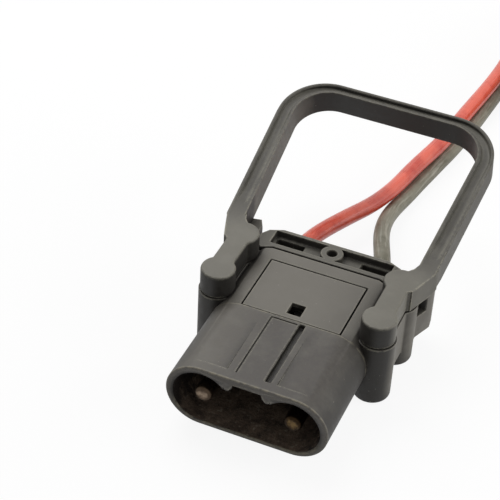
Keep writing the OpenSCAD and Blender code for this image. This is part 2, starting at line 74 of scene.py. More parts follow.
# %% Camera
def make_camera():
    """Right, up and back axes from the line of sight, then a roll about that line. The
    eye is in millimetres from the centre of the mouth."""
    sight = np.array([-0.28170, 0.72169, -0.63231])
    eye = [224.985, -582.663, 621.088]
    roll = math.radians(3.18)
    focal_px, picture_px, sensor_mm = 1649.33, 500, 36.0
    level = np.cross(sight, [0.0, 0.0, 1.0])
    level /= np.linalg.norm(level)
    upright = np.cross(level, sight)
    right = math.cos(roll) * level + math.sin(roll) * upright
    up = np.cross(right, sight)
    data = bpy.data.cameras.new("camera")
    data.sensor_width = sensor_mm
    data.lens = focal_px / picture_px * sensor_mm
    data.clip_start, data.clip_end = 0.05, 20.0
    camera = bpy.data.objects.new("camera", data)
    turn = Matrix(np.stack([right, up, -sight], 1).tolist()).to_4x4()
    camera.matrix_world = Matrix.Translation(row(eye)) @ turn
    bpy.context.scene.collection.objects.link(camera)
    bpy.context.scene.camera = camera
    return camera


camera = make_camera()
print("lens mm:", round(camera.data.lens, 2))

# %% [markdown]
# Meshes from arrays
# Every new surface here is a grid of points worked out at once with numpy. One helper
# turns such a grid into a mesh, and closes it into a tube with a cap at each end.
# Writing whole arrays is fast, and the shape stays a formula that can be read.

# %% Grid and tube helpers
def new_piece(name, points, faces):
    """Links a mesh of these points and faces, smooth shaded, and lets it ride."""
    mesh = bpy.data.meshes.new(name)
    mesh.from_pydata(points.tolist(), [], faces)
    mesh.shade_smooth()
    mesh.update()
    piece = bpy.data.objects.new(name, mesh)
    bpy.context.scene.collection.objects.link(piece)
    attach(piece, "root")
    return piece


def tube_grid(line, radius, sides):
    """Rings of radius r(s, angle) round a line: p = c(s) + r (cos a across + sin a up)."""
    along = np.gradient(line, axis=0)
    along /= np.linalg.norm(along, axis=1, keepdims=True)
    across = np.cross(along, [0.0, 0.0, 1.0])
    across /= np.linalg.norm(across, axis=1, keepdims=True)
    up = np.cross(across, along)
    angle = np.linspace(0, 2 * np.pi, sides, endpoint=False)
    cos, sin = np.cos(angle)[None, :, None], np.sin(angle)[None, :, None]
    ring = cos * across[:, None] + sin * up[:, None]
    r = np.broadcast_to(radius, (len(line), sides))
    return line[:, None] + r[:, :, None] * ring


def tube_faces(rings, sides):
    """Quads between neighbouring rings, and one fan of corners as the cap at each end."""
    i, k = np.meshgrid(np.arange(rings - 1), np.arange(sides), indexing="ij")
    a, b = i * sides + k, i * sides + (k + 1) % sides
    quads = np.stack([a, b, b + sides, a + sides], -1).reshape(-1, 4)
    first = list(range(sides))[::-1]
    last = [(rings - 1) * sides + k for k in range(sides)]
    return quads.tolist() + [first, last]


def smooth_line(points, step):
    """A curve with even curvature through the points, sampled every step.
    It is the cubic spline whose second derivative is continuous, over chord length."""
    points = np.array(points, float)
    t = np.r_[0, np.cumsum(np.linalg.norm(np.diff(points, axis=0), axis=1))]
    h = np.diff(t)
    n = len(points)
    system = np.eye(n)
    inner = np.arange(1, n - 1)
    system[inner, inner - 1] = h[:-1]
    system[inner, inner] = 2 * (h[:-1] + h[1:])
    system[inner, inner + 1] = h[1:]
    slope = np.diff(points, axis=0) / h[:, None]
    right = np.zeros_like(points)
    right[1:-1] = 6 * np.diff(slope, axis=0)
    bend = np.linalg.solve(system, right)
    s = np.linspace(0, t[-1], int(t[-1] / step) + 1)
    i = np.clip(np.searchsorted(t, s, "right") - 1, 0, n - 2)
    u, v = (t[i + 1] - s)[:, None], (s - t[i])[:, None]
    w = h[i][:, None]
    return (
        (bend[i] * u**3 + bend[i + 1] * v**3) / (6 * w)
        + (points[i] / w - bend[i] * w / 6) * u
        + (points[i + 1] / w - bend[i + 1] * w / 6) * v
    )


print("helpers ready")

# %% [markdown]
# The two leads
# Each lead is a flexible copper conductor in a thick rubber sheath, 10.4 mm across. The
# picture shows the first 30 cm: the two lie nearly side by side behind the handle, the
# red one riding on the black one. The rest of each is put away just out of view, wound
# in a little over three turns. The coils are stacked, black below and red above, and
# strapped. A lead can't pass through itself, so each turn moves to its next place in a
# slow S before it meets the turn before it. A mesh tube along one smooth line is simple
# and exact.

# %% Sizes of the coils
# Millimetres and degrees: the lead's thickness, the middle of both coils, the radius of
# an outer turn, the foot of each coil, the angles at which a lead comes in and heads out,
# how far it is wound, how long it then falls to the floor, how far it runs on there, and
# the height of its middle there.
LEAD_D = 10.4
COIL = np.array([96.0, 438.5])
OUTER_TURN = 57.2
BASE = {"red": 1.0 - FLOOR_Z + 2 * LEAD_D, "black": 1.0 - FLOOR_Z}
TURN_IN = {"red": 60.0, "black": 165.0}
TURN_OUT = {"red": 0.0, "black": -15.0}
WOUND = {"red": 1140.0, "black": 1260.0}
FALL = {"red": 98.0, "black": 62.0}
RUN = {"red": 26.0, "black": 93.0}
LAY_Z = 6.0 - FLOOR_Z

# Each move to another turn starts after the first number of degrees and takes the second.
MOVE_IN, MOVE_UP, MOVE_OUT = (270, 90), (580, 86), (910, 90)
TURN_STEP = 15.0

# Points on straight stretches, in millimetres: inside the clamp before the route starts,
# before the first turn, and after the last one. Then the step of the finished line.
IN_CLAMP = [28, 18, 9]
RUN_IN = [38, 25, 12]
RUN_OUT = 16
LINE_STEP = 3.0
print("turns of each lead:", {colour: round(wound / 360, 2) for colour, wound in WOUND.items()})

# %% Routes of the leads
# The same points as in the CAD source, in millimetres from the centre of the mouth: to
# the right, back, and up.
ROUTE = {
    "red": [
        [-26, 132.3, 0], [-25.7, 140, -0.3], [-24.5, 149, -0.9], [-22.3, 159, -1.7],
        [-19.2, 169.5, -2.8], [-15.3, 181, -4.2], [-11, 193, -5.8], [-6.6, 205, -7.5],
        [-2.6, 218, -8.9], [0.6, 231, -9.8], [3.1, 244, -10.2], [5.4, 257, -9.9],
        [7.9, 269.5, -9.7], [10.6, 282, -9.6], [13.2, 295, -9.6], [15.3, 313, -9.9],
        [17, 332, -10.1], [19, 349, -9.9], [21.2, 366, -9.6], [23.1, 384, -9.4],
        [24.3, 402, -9.3], [24.6, 420, -9], [24.4, 438, -8.4], [24.2, 454, -7.4],
        [24.2, 469, -6], [26.9, 483.5, -4.4], [34.7, 497, -2.8], [46.7, 507.1, -1.1],
        [61.4, 512.4, 0.3], [77, 512.4, 1.4],
    ],
    "black": [
        [26, 132.3, 0], [25.5, 140, -0.5], [23.9, 148, -1.4], [21.5, 156, -2.6],
        [18.5, 164.5, -4.2], [15.2, 173.5, -6.2], [12, 183, -8.5], [9.3, 193, -11],
        [7.3, 204, -13.5], [6.4, 215, -15.8], [6.7, 226, -17.6], [7.9, 237, -18.9],
        [9.4, 248, -19.6], [11.1, 260, -19.8], [13.3, 273, -19.8], [15.8, 288, -19.8],
        [18.4, 303, -19.8], [20.7, 320, -19.8], [22.8, 338, -19.8], [24.4, 357, -19.8],
        [25.8, 376, -19.8], [27.3, 395, -19.7],
    ],
}


def ease(t):
    """A slow start and end: half a cosine wave from 0 to 1."""
    return (1 - np.cos(np.pi * np.clip(t, 0, 1))) / 2


def moved(wound, move):
    """How much of a move is done: 0 before it starts, 1 after it ends, eased between."""
    return ease((wound - move[0]) / move[1])


def turns(colour):
    """Points of the wound part, clockwise: outer turn, inner turn, up, inner, outer."""
    w = np.arange(0, WOUND[colour] + 1, TURN_STEP)
    radius = OUTER_TURN - LEAD_D * moved(w, MOVE_IN) + LEAD_D * moved(w, MOVE_OUT)
    height = LEAD_D * (0.5 + moved(w, MOVE_UP))
    a = np.radians(TURN_IN[colour] - w)
    x, y = COIL[0] + radius * np.cos(a), COIL[1] + radius * np.sin(a)
    return np.stack([x, y, BASE[colour] + height], 1)


def ahead(angle):
    """Clockwise heading on the coil at this angle."""
    return np.array([math.sin(math.radians(angle)), -math.cos(math.radians(angle)), 0.0])


def lead_line(colour):
    """The whole centre line: clamp, route, straight run in, turns, fall to the floor."""
    coil = turns(colour)
    clamp = np.array(ROUTE[colour][0]) - np.outer(IN_CLAMP, [0, 1, 0])
    run_in = coil[0] - np.outer(RUN_IN, ahead(TURN_IN[colour]))
    out = ahead(TURN_OUT[colour])
    top = coil[-1] + RUN_OUT * out
    s = np.linspace(0, FALL[colour], 10)
    fall = top + s[:, None] * out
    fall[:, 2] = LAY_Z + (top[2] - LAY_Z) * (1 + np.cos(np.pi * s / FALL[colour])) / 2
    run = fall[-1] + np.linspace(0.4, 1, 3)[:, None] * RUN[colour] * out
    points = np.vstack([clamp, ROUTE[colour], run_in, coil, fall, run])
    return smooth_line(row(points), LINE_STEP * MM)


LINES = {colour: lead_line(colour) for colour in ("red", "black")}


def measure(line):
    """Length, and the tightest bend as the circle through three neighbouring points."""
    d = np.linalg.norm(np.diff(line, axis=0), axis=1)
    area = np.linalg.norm(np.cross(line[1:-1] - line[:-2], line[2:] - line[:-2]), axis=1) / 2
    chord = np.linalg.norm(line[2:] - line[:-2], axis=1)
    bend = d[:-1] * d[1:] * chord / np.maximum(4 * area, 1e-12)
    return d.sum(), bend.min()


for colour, line in LINES.items():
    length, bend = measure(line)
    print(colour, "lead: %.3f m long, tightest bend %.1f mm" % (length, bend / MM))

# %% Lead tubes
LAY_ROUND, LAY_ALONG = 1.3, 60


def make_lead(colour, name):
    """A sheath of even thickness whose surface waves by a tenth of a millimetre. Its
    radius is the lead's, less the highest wave, plus two slow sines of the way along and
    the angle. The lay attribute keeps that angle's cosine and sine and the way along, so
    that streaks can be drawn out along the lead."""
    line, sides = LINES[colour], 28
    s = np.arange(len(line))[:, None] * LINE_STEP
    a = np.linspace(0, 2 * np.pi, sides, endpoint=False)[None]
    wave = 0.06 * np.sin(s / 23 + 2 * a) + 0.05 * np.sin(s / 61 + a + 1.3)
    grid = tube_grid(line, (LEAD_D / 2 - 0.11 + wave) * MM, sides)
    faces = tube_faces(len(line), sides)
    piece = new_piece(name, grid.reshape(-1, 3), faces)
    lay = np.broadcast_arrays(LAY_ROUND * np.cos(a), LAY_ROUND * np.sin(a), s / LAY_ALONG)
    layer = piece.data.attributes.new("lay", "FLOAT_VECTOR", "POINT")
    layer.data.foreach_set("vector", np.stack(lay, -1).astype(np.float32).ravel())
    return piece


red_lead = make_lead("red", "red_lead")
black_lead = make_lead("black", "black_lead")
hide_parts("positive_lead", "positive_coil", "positive_end", "positive_root")
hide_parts("negative_lead", "negative_coil", "negative_end", "negative_root")
for colour, piece, side, extras in (
    ("red", red_lead, -26, ["positive_sleeve", "positive_lug"]),
    ("black", black_lead, 26, ["negative_sleeve", "negative_lug"]),
):
    measure(LINES[colour])[0]
print("leads made:", len(red_lead.data.polygons), len(black_lead.data.polygons))

# %% [markdown]
# Colours and nodes
# Colours are written as hex values as a screen shows them, and one function turns them
# into the linear values that a shader needs. One more function adds a shader node with
# its settings and links, so that a material reads as a short list of steps. In a colour
# Mix, input 0 is how far the colour goes from input 6 to input 7. A MapRange takes input 0
# from the range between inputs 1 and 2 to the one between inputs 3 and 4, 0 to 1 unless
# given.

# %% Material helpers
def linear(text):
    """sRGB hex to linear red, green, blue and 1."""
    c = np.array([int(text[i : i + 2], 16) for i in (1, 3, 5)]) / 255
    c = np.where(c <= 0.04045, c / 12.92, ((c + 0.055) / 1.055) ** 2.4)
    return (*c.tolist(), 1.0)


def add(tree, kind, settings=None, out=None, **inputs):
    """Adds a node and gives its output: the one named out, or else the first in use.
    An input is named by its label or as i with its number. Its value is a number, a hex
    colour, or another node's output to link."""
    node = tree.nodes.new("ShaderNode" + kind)
    for key, value in (settings or {}).items():
        setattr(node, key, value)
    for key, value in inputs.items():
        socket = node.inputs[int(key[1:]) if key[1:].isdigit() else key.replace("_", " ")]
        if isinstance(value, bpy.types.NodeSocket):
            tree.links.new(value, socket)
        else:
            socket.default_value = linear(value) if isinstance(value, str) else value
    if not node.outputs:
        return node
    return node.outputs[out] if out else next(o for o in node.outputs if o.enabled)


COLOURS = {"data_type": "RGBA"}
TIMES = {"operation": "MULTIPLY"}
PLUS_TIMES = {"operation": "MULTIPLY_ADD"}
LESS = {"operation": "SUBTRACT"}
SIZE = {"operation": "ABSOLUTE"}
MOST = {"operation": "MAXIMUM"}
DOT = {"operation": "DOT_PRODUCT"}


def start(name):
    """A new material, its empty tree, and object coordinates."""
    material = bpy.data.materials.new(name)
    material.use_nodes = True
    tree = material.node_tree
    tree.nodes.clear()
    return material, tree, add(tree, "TexCoord", out="Object")


print("material helpers ready")

# %% [markdown]
# Glass-filled polyamide
# The housing, handle, clamp and lock plate are moulded from black polyamide with glass
# fibre in it. New, it is nearly black with a faint sheen. This one is old: dust has turned
# what faces up or to the sides to a grey brown. Painted light adds to it: what faces up,
# outwards or back is drawn lighter, and what faces ahead or down stays dark as painted
# shade. The barrel in front is drawn darker than the body as painted shade, most of all on
# its flanks, and paler on its left side as painted light from the left. Dirt and painted
# shade lie in every gap, a band of painted shade runs beside the barrel's middle strip, the
# top of the loop behind the pads is painted darker as shade, and pale dust has settled in
# the channel of the loop. The edges that rub are worn pale, and so is the crest of the rim,
# partly as painted highlights. So the colour follows which way the surface faces, and where
# on the plug it is. Ambient occlusion over 22 mm finds the sheltered places, which keep less
# dust and are painted darker as shade, and over 3 mm the gaps. The bevel node finds the
# edges: within 2 mm of one, its normal leaves the true normal. Blotches are some
# centimetres wide, and the grain of the mould is drawn 0.6 mm wide so that it shows.

# %% Where the finish changes
# Stretches in metres, from where a finish, painted light or painted shade starts to where
# it is full. The first three run across the plug, and the others along it, from the rim of
# the mouth at -0.118 back to the loop.
LIT_LEFT = {"i1": -0.034, "i2": -0.006}
STRIP_OUTSIDE = {"i1": 0.0185, "i2": 0.0148}
STRIP_INSIDE = {"i1": 0.0143, "i2": 0.0146}
CREST = {"i1": -0.1170, "i2": -0.1175}
RIM = {"i1": -0.1166, "i2": -0.1174}
STRIP_FRONT = {"i1": -0.1125, "i2": -0.108}
STRIP_BACK = {"i1": -0.068, "i2": -0.072}
BARREL = {"i1": -0.052, "i2": -0.064}
FLANKS = {"i1": -0.058, "i2": -0.068}
SIDES = {"i1": -0.062, "i2": -0.045}
PADS = {"i1": -0.012, "i2": 0.012}
ARMS = {"i1": 0.014, "i2": 0.022}
HELD = {"i1": -0.012, "i2": 0.02}

# The ridge behind the barrel, as its middle and how far it reaches to each side.
RIDGE = {"i1": -0.0603, "i2": 0.0007}

# Greys of the places that every moulding shares: grime with painted shade in the gaps,
# and pale flecks. Then those of the barrel and the loop alone: painted shade on the
# barrel's flanks, the rim, the crest rubbed pale and partly a painted highlight, and dust
# in the loop's channel.
GAP_GRIME_AND_SHADE, FLECK = "#1d1a18", "#b4b0a5"
FLANK_SHADE, RIM_GREY, CREST_RUB_AND_HIGHLIGHT = "#2d2a26", "#68645f", "#99927f"
CHANNEL_DUST = "#8d8a7f"


# %% Painted light and dust
def aged(tree, facing, x, y):
    """How much dust and painted light a face gets: its upward part, its outward part behind
    the barrel, three quarters of any sideways part on the loop's arms, and a fifth of its
    backward part. What faces these ways is drawn lighter, and the rest darker as painted shade."""
    outward = add(tree, "Math", {"operation": "SIGN"}, i0=x)
    outward = add(tree, "Math", TIMES, i0=facing["X"], i1=outward)
    inner = add(tree, "Math", SIZE, i0=facing["X"])
    inner = add(tree, "Math", TIMES, i0=inner, i1=add(tree, "MapRange", i0=y, i4=0.75, **ARMS))
    outward = add(tree, "Math", MOST, i0=outward, i1=inner)
    often = add(tree, "MapRange", i0=y, **SIDES)
    light_and_dust = add(tree, "Math", PLUS_TIMES, i0=outward, i1=often, i2=facing["Z"])
    return add(tree, "Math", PLUS_TIMES, i0=facing["Y"], i1=0.2, i2=light_and_dust)


# %% Barrel
def barrel_greys(tree, body, upward, up, x, y, side, fore_shade):
    """The barrel's top grey, darker than the body as painted shade, and weaker on its left
    side, painted as lit from the left. Then its flanks in painted shade, the grey of the
    rim, and a band of painted shade on each side of the middle strip."""
    # The barrel's top is painted darker as shade, with less dust, and its left side less so, as
    # painted light from the left.
    ahead = add(tree, "MapRange", i0=y, **BARREL)
    ahead = add(tree, "Math", TIMES, i0=ahead, i1=upward)
    less_on_lit_left = add(tree, "MapRange", i0=x, i3=0.4, **LIT_LEFT)
    ahead = add(tree, "Math", TIMES, i0=ahead, i1=less_on_lit_left)
    body = add(tree, "Mix", COLOURS, i0=ahead, i6=body, i7=fore_shade)
    # The barrel's flanks are painted darker, as shade.
    flank_shade = add(tree, "MapRange", i0=up, i1=0.97, i2=0.55, i4=0.9)
    flank_shade = add(tree, "Math", TIMES, i0=flank_shade, i1=add(tree, "MapRange", i0=y, **FLANKS))
    body = add(tree, "Mix", COLOURS, i0=flank_shade, i6=body, i7=FLANK_SHADE)
    rim = add(tree, "MapRange", i0=y, i4=0.8, **RIM)
    body = add(tree, "Mix", COLOURS, i0=rim, i6=body, i7=RIM_GREY)
    # A soft band of painted shade beside each side of the middle strip.
    across = add(tree, "Math", SIZE, i0=x)
    strip_shade = add(tree, "MapRange", i0=across, i4=0.45, **STRIP_OUTSIDE)
    for way, stretch in ((across, STRIP_INSIDE), (y, STRIP_FRONT), (y, STRIP_BACK)):
        limit = add(tree, "MapRange", i0=way, **stretch)
        strip_shade = add(tree, "Math", TIMES, i0=strip_shade, i1=limit)
    return add(tree, "Mix", COLOURS, i0=strip_shade, i6=body, i7=side)


def rub_and_highlight_crest(tree, body, up, fine, y):
    """The crest of the rim and the ridge behind the barrel, rubbed pale in patches, and
    partly painted as a highlight.
    """
    crest = add(tree, "MapRange", i0=y, i4=0.9, **CREST)
    for share in (
        add(tree, "MapRange", i0=up, i1=0.25, i2=0.6),
        add(tree, "MapRange", i0=fine, i1=0.38, i2=0.6),
    ):
        crest = add(tree, "Math", TIMES, i0=crest, i1=share)
    ridge = add(tree, "Math", {"operation": "COMPARE"}, i0=y, **RIDGE)
    patches = add(tree, "MapRange", i0=fine, i1=0.4, i2=0.6, i4=0.4)
    ridge = add(tree, "Math", TIMES, i0=ridge, i1=patches)
    crest = add(tree, "Math", MOST, i0=crest, i1=ridge)
    return add(tree, "Mix", COLOURS, i0=crest, i6=body, i7=CREST_RUB_AND_HIGHLIGHT)


# %% Worn edges and painted highlights
def rub_and_highlight_edges(tree, true, fine, open_air, rub_and_highlight_share):
    """Where the bevel's normal leaves the true one, in patches, and away from gaps: edges worn
    pale, partly as a painted highlight.
    """
    rounded = add(tree, "Bevel", {"samples": 6}, Radius=2.0 * MM)
    same = add(tree, "VectorMath", DOT, out="Value", i0=rounded, i1=true)
    edge = add(tree, "MapRange", i0=same, i1=0.985, i2=0.92, i4=rub_and_highlight_share)
    rubbed = add(tree, "MapRange", i0=fine, i1=0.34, i2=0.54)
    edge = add(tree, "Math", TIMES, i0=edge, i1=rubbed)
    free = add(tree, "MapRange", i0=open_air, i1=0.6, i2=0.9)
    return add(tree, "Math", TIMES, i0=edge, i1=free)


# %% Polyamide
def polyamide(
    name, top, side, dust, rub_and_highlight="#a8a495", rub_and_highlight_share=0.75, fore_shade=None, loop_shade=None, dusty=0.22, grime_and_shade=0.85
):
    """Top is the colour of what faces up: dust, with painted light. Side is the colour of
    the rest, and dust that of specks and blotches. The edge colour marks edges worn pale,
    partly as a painted highlight. The barrel's darker top colour is partly painted shade and
    partly less dust, and the loop's top colour behind the pads is painted shade."""
    material, tree, place = start(name)
    true = add(tree, "NewGeometry", out="Normal")
    facing = add(tree, "SeparateXYZ", Vector=true).node.outputs
    x, y = add(tree, "SeparateXYZ", Vector=place).node.outputs[:2]
    light_and_dust = aged(tree, facing, x, y)
    blotch = add(tree, "TexNoise", Vector=place, Scale=1000 / 26, Detail=5.0, Roughness=0.6)
    fine = add(tree, "TexNoise", Vector=place, Scale=1000 / 3.0, Detail=4.0, Roughness=0.65)
    # Lit mixes dust with painted light: what faces up, outwards or back is drawn lighter, and the
    # rest darker as painted shade.
    lit = add(tree, "Math", PLUS_TIMES, i0=blotch, i1=0.5, i2=light_and_dust)
    upward = add(tree, "MapRange", i0=lit, i1=0.45, i2=1.22)
    body = add(tree, "Mix", COLOURS, i0=upward, i6=side, i7=top)
    # Behind the pads the loop's upward faces are painted darker, as shade.
    if loop_shade:
        behind = add(tree, "MapRange", i0=y, **PADS)
        behind = add(tree, "Math", TIMES, i0=behind, i1=upward)
        body = add(tree, "Mix", COLOURS, i0=behind, i6=body, i7=loop_shade)
    if fore_shade:
        body = barrel_greys(tree, body, upward, facing["Z"], x, y, side, fore_shade)
    speck = add(tree, "MapRange", i0=fine, i1=0.4, i2=0.75, i4=0.18)
    speck = add(tree, "Math", TIMES, i0=speck, i1=add(tree, "MapRange", i0=upward, i3=0.3))
    body = add(tree, "Mix", COLOURS, i0=speck, i6=body, i7=dust)
    patch = add(tree, "MapRange", i0=blotch, i1=0.5, i2=0.7, i4=dusty)
    patch = add(tree, "Math", TIMES, i0=patch, i1=upward)
    body = add(tree, "Mix", COLOURS, i0=patch, i6=body, i7=dust)
    open_air = add(tree, "AmbientOcclusion", {"samples": 6}, out="AO", Distance=3 * MM)
    # Places sheltered within 22 mm keep less dust and are painted darker as shade, less so on the
    # loop's arms.
    sheltered_shade = add(tree, "AmbientOcclusion", {"samples": 6}, out="AO", Distance=22 * MM)
    sheltered_shade = add(tree, "MapRange", i0=sheltered_shade, i1=0.78, i2=0.4, i4=0.75)
    less_on_arms = add(tree, "MapRange", i0=y, i3=1.0, i4=0.25, **ARMS)
    sheltered_shade = add(tree, "Math", TIMES, i0=sheltered_shade, i1=less_on_arms)
    body = add(tree, "Mix", COLOURS, i0=sheltered_shade, i6=body, i7=side)
    if loop_shade:
        settled = add(tree, "MapRange", i0=open_air, i1=0.93, i2=0.7, i4=0.75)
        settled = add(tree, "Math", TIMES, i0=settled, i1=behind)
        body = add(tree, "Mix", COLOURS, i0=settled, i6=body, i7=CHANNEL_DUST)
    # Grime in the gaps, with painted shade, where the 3 mm occlusion is low.
    gap = add(tree, "MapRange", i0=open_air, i1=0.86, i2=0.42, i4=grime_and_shade)
    body = add(tree, "Mix", COLOURS, i0=gap, i6=body, i7=GAP_GRIME_AND_SHADE)
    # Edges worn pale, and partly painted as highlights.
    edge = rub_and_highlight_edges(tree, true, fine, open_air, rub_and_highlight_share)
    if loop_shade:
        held = add(tree, "MapRange", i0=y, i3=1.0, i4=0.4, **HELD)
        edge = add(tree, "Math", TIMES, i0=edge, i1=held)
    body = add(tree, "Mix", COLOURS, i0=edge, i6=body, i7=rub_and_highlight)
    fleck = add(tree, "TexNoise", Vector=place, Scale=1000 / 1.8, Detail=2.0)
    fleck = add(tree, "MapRange", i0=fleck, i1=0.73, i2=0.78, i4=0.4)
    body = add(tree, "Mix", COLOURS, i0=fleck, i6=body, i7=FLECK)
    # The rim's crest and the ridge, rubbed pale and partly painted as highlights.
    if fore_shade:
        body = rub_and_highlight_crest(tree, body, facing["Z"], fine, y)
    rough = add(tree, "MapRange", i0=fine, i1=0.3, i2=0.7, i3=0.48, i4=0.64)
    grain = add(tree, "TexNoise", Vector=place, Scale=1000 / 0.6, Detail=2.0)
    relief = add(tree, "Bump", Height=grain, Distance=0.05 * MM, Strength=0.5)
    shader = add(tree, "BsdfPrincipled", Base_Color=body, Roughness=rough, Normal=relief,
                 IOR=1.53, Specular_IOR_Level=0.35)
    add(tree, "OutputMaterial", Surface=shader)
    return material


HOUSING = polyamide("weathered_moulded_polyamide", "#736f67", "#1e1c19", "#8d8a80",
                    fore_shade="#4e4a46", dusty=0.25)
HANDLE = polyamide("weathered_handle_polyamide", "#757269", "#1e1c19", "#8d8a80",
                   rub_and_highlight="#a8a493", rub_and_highlight_share=0.9, loop_shade="#4c4943", dusty=0.36, grime_and_shade=0.2)
CLAMP = polyamide("weathered_clamp_polyamide", "#66635b", "#35322e", "#7b786f")
PLATE = polyamide("weathered_lock_plate_polyamide", "#76726a", "#403d39", "#86837b", dusty=0.12)
CODING = polyamide("coding_pin_polyamide", "#2b2826", "#1c1a19", "#3a3733", rub_and_highlight_share=0.1, dusty=0.1)
print("polyamide materials made")

# %% [markdown]
# Inside the mouth
# Mating sockets keep the mouth free of sunlight, so the polyamide in there is still near
# black. Brown dirt has settled on its floor in clots, with a few pale chips in it. The
# dirt follows which way the surface faces, broken up by a coarse noise, and the chips are
# the crests of a finer one.

# %% Mouth lining
def mouth_lining():
    """Near black, and brown where dirt has settled on what faces up."""
    material, tree, place = start("dirty_mouth_polyamide")
    up = add(tree, "SeparateXYZ", out="Z", Vector=add(tree, "NewGeometry", out="Normal"))
    clot = add(tree, "TexNoise", Vector=place, Scale=1000 / 7, Detail=6.0, Roughness=0.7)
    heap = add(tree, "Math", PLUS_TIMES, i0=clot, i1=2.6, i2=up)
    heap = add(tree, "MapRange", i0=heap, i1=1.75, i2=2.65)
    body = add(tree, "Mix", COLOURS, i0=heap, i6="#1f1916", i7="#7d6c5d")
    chip = add(tree, "TexNoise", Vector=place, Scale=1000 / 2.2, Detail=3.0, Roughness=0.6)
    flake = add(tree, "MapRange", i0=chip, i1=0.58, i2=0.66, i4=0.7)
    flake = add(tree, "Math", TIMES, i0=flake, i1=heap)
    body = add(tree, "Mix", COLOURS, i0=flake, i6=body, i7="#a39a8a")
    relief = add(tree, "Bump", Height=clot, Distance=0.9 * MM, Strength=1.0)
    shader = add(tree, "BsdfPrincipled", Base_Color=body, Roughness=0.75, Normal=relief,
                 IOR=1.53, Specular_IOR_Level=0.2)
    add(tree, "OutputMaterial", Surface=shader)
    return material


MOUTH = mouth_lining()

# %% [markdown]
# Cable sheaths
# The sheaths are extruded soft rubber. The red one is bright, dulled by handling. The
# black one has gone a greenish grey with dust. Both are drawn darker on their lower side
# as painted shade, and are soiled underneath. An extruder drags its marks out along the
# lead, so the streaks are noise on the piece's own coordinates: round the lead and along
# it, 2 mm wide and 60 mm long. The round part is a cosine and a sine of the angle, so
# there is no seam.

# %% Sheaths
def sheath(name, colour, scuff, dark, soil, rough, streaky, glossy):
    """Colour, its pale scuffs, the darker tint of blotches and of the lower side, which is
    painted shade there, and the soil below."""
    material, tree, place = start(name)
    lay = add(tree, "Attribute", {"attribute_name": "lay"}, out="Vector")
    streak = add(tree, "TexNoise", Vector=lay, Scale=2.2, Detail=4.0, Roughness=0.6)
    soft = add(tree, "TexNoise", Vector=place, Scale=1000 / 18, Detail=4.0, Roughness=0.55)
    fine = add(tree, "TexNoise", Vector=place, Scale=1000 / 1.4, Detail=3.0, Roughness=0.6)
    clean = add(tree, "MapRange", i0=soft, i1=0.3, i2=0.55)
    body = add(tree, "Mix", COLOURS, i0=clean, i6=dark, i7=colour)
    pale = add(tree, "MapRange", i0=streak, i1=0.5, i2=0.68, i4=streaky)
    body = add(tree, "Mix", COLOURS, i0=pale, i6=body, i7=scuff)
    speck = add(tree, "MapRange", i0=fine, i1=0.6, i2=0.8, i4=0.25)
    body = add(tree, "Mix", COLOURS, i0=speck, i6=body, i7=scuff)
    up = add(tree, "SeparateXYZ", out="Z", Vector=add(tree, "NewGeometry", out="Normal"))
    # The lower side is drawn in the darker tint, as painted shade.
    lower = add(tree, "MapRange", i0=up, i1=0.55, i2=-0.15, i4=0.8)
    body = add(tree, "Mix", COLOURS, i0=lower, i6=body, i7=dark)
    under = add(tree, "MapRange", i0=up, i1=-0.1, i2=-0.75, i4=0.75)
    spots = add(tree, "MapRange", i0=fine, i1=0.38, i2=0.58)
    under = add(tree, "Math", TIMES, i0=under, i1=spots)
    body = add(tree, "Mix", COLOURS, i0=under, i6=body, i7=soil)
    gloss = add(tree, "MapRange", i0=streak, i1=0.3, i2=0.7, i3=rough, i4=rough + 0.14)
    relief = add(tree, "Bump", Height=streak, Distance=0.12 * MM, Strength=0.3)
    shader = add(tree, "BsdfPrincipled", Base_Color=body, Roughness=gloss, Normal=relief,
                 IOR=1.5, Specular_IOR_Level=glossy)
    add(tree, "OutputMaterial", Surface=shader)
    return material


RED = sheath("red_rubber_sheath", "#ff6c52", "#ffa791", "#d63f2a", "#8a3a28",
             rough=0.22, streaky=0.12, glossy=0.85)
BLACK = sheath("black_rubber_sheath", "#979382", "#c4c1b2", "#6d6a58", "#3a3832",
               rough=0.42, streaky=0.8, glossy=0.45)
print("sheath materials made")

# %% [markdown]
# Metals
# The pins are turned copper, brown with age. Their tips rub in the mating sockets and
# stay brighter in the middle, with grime round them. The left pin has lost more of its
# colour than the right one. The screws are zinc plated steel, and the ring lugs are
# tinned copper. Stains are a few millimetres wide, and the fine grain of each metal is
# drawn 0.5 mm wide so that it shows. The sleeves on the lugs and the straps round the
# coils are black plastic too, so they take the steps of the polyamide.

